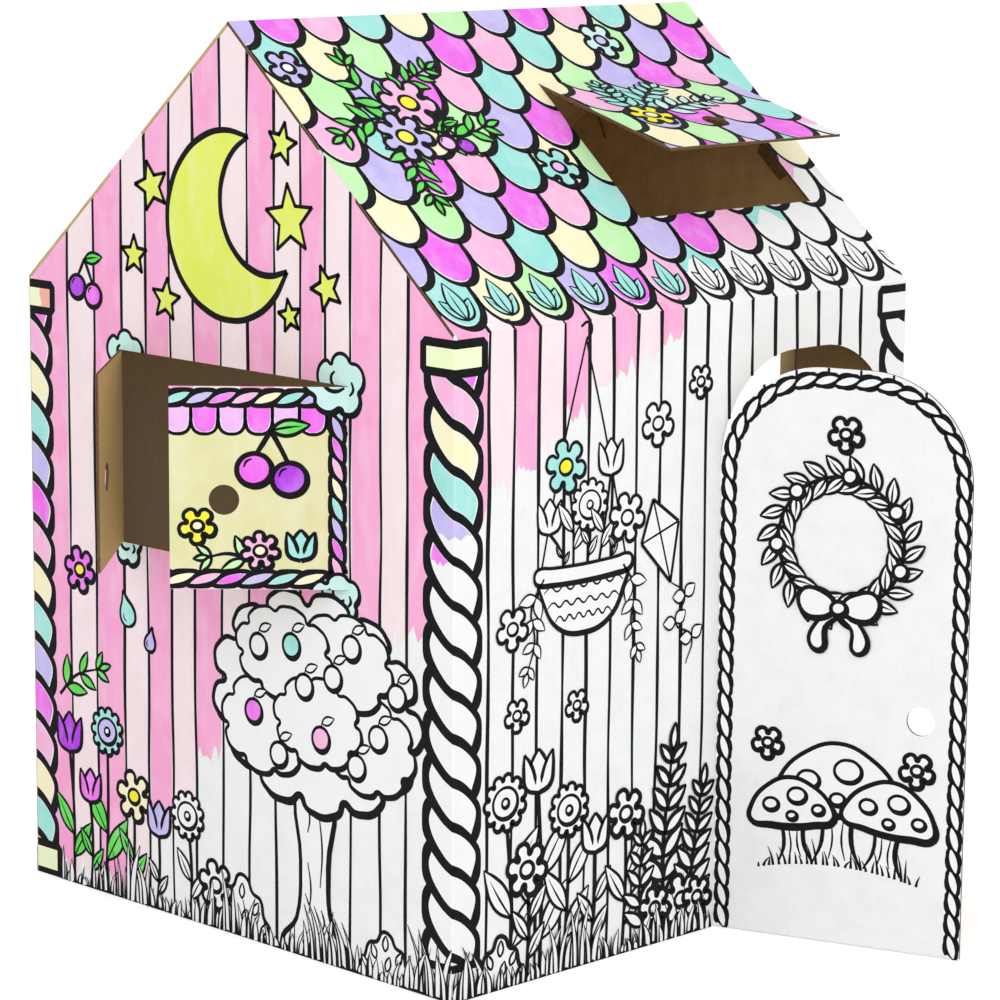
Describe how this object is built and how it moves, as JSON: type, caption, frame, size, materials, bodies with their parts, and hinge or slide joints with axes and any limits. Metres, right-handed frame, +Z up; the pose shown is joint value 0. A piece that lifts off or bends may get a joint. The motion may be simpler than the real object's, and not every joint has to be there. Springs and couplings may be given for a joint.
{
  "type": "cardboard playhouse",
  "caption": "Child-size play house folded from corrugated board, with a gabled roof, a round-cornered door flap, a shuttered window in each gable and a roof hatch.",
  "frame": {"origin": "centre of the house's footprint, on the floor", "axes": "+Z up; -Y out of the wall with the door; -X out of the gable on the left of that wall; the ridge runs along X"},
  "size_m": [1.2006, 1.1755, 1.219],
  "materials": {
    "printed_board": "white printed outside, bare brown kraft inside"
  },
  "bodies": {
    "house": {"front_sheet": "printed_board", "back_sheet": "printed_board"},
    "door": {"door": "printed_board"},
    "left_shutter": {"left_shutter": "printed_board"},
    "right_shutter": {"right_shutter": "printed_board"},
    "far_left_shutter": {"far_left_shutter": "printed_board"},
    "far_right_shutter": {"far_right_shutter": "printed_board"},
    "roof_hatch": {"roof_hatch": "printed_board"}
  },
  "joints": [
    {"name": "door_hinge", "type": "hinge", "parent": "house", "child": "door", "pos_m": [0.057, -0.422, 0.3], "axis": [0, 0, -1], "range_deg": [-70.7, 99.3]},
    {"name": "left_shutter_hinge", "type": "hinge", "parent": "house", "child": "left_shutter", "pos_m": [-0.438, 0.228, 0.637], "axis": [0, 0, -1], "range_deg": [-47, 123]},
    {"name": "right_shutter_hinge", "type": "hinge", "parent": "house", "child": "right_shutter", "pos_m": [-0.438, -0.228, 0.637], "axis": [0, 0, 1], "range_deg": [-45, 125]},
    {"name": "far_left_shutter_hinge", "type": "hinge", "parent": "house", "child": "far_left_shutter", "pos_m": [0.438, -0.228, 0.637], "axis": [0, 0, -1], "range_deg": [-44, 126]},
    {"name": "far_right_shutter_hinge", "type": "hinge", "parent": "house", "child": "far_right_shutter", "pos_m": [0.438, 0.228, 0.637], "axis": [0, 0, 1], "range_deg": [-44, 126]},
    {"name": "roof_hatch_hinge", "type": "hinge", "parent": "house", "child": "roof_hatch", "pos_m": [0.197, -0.1081, 1.12499], "axis": [-1, 0, 0], "range_deg": [-24.8, 125.2]}
  ]
}
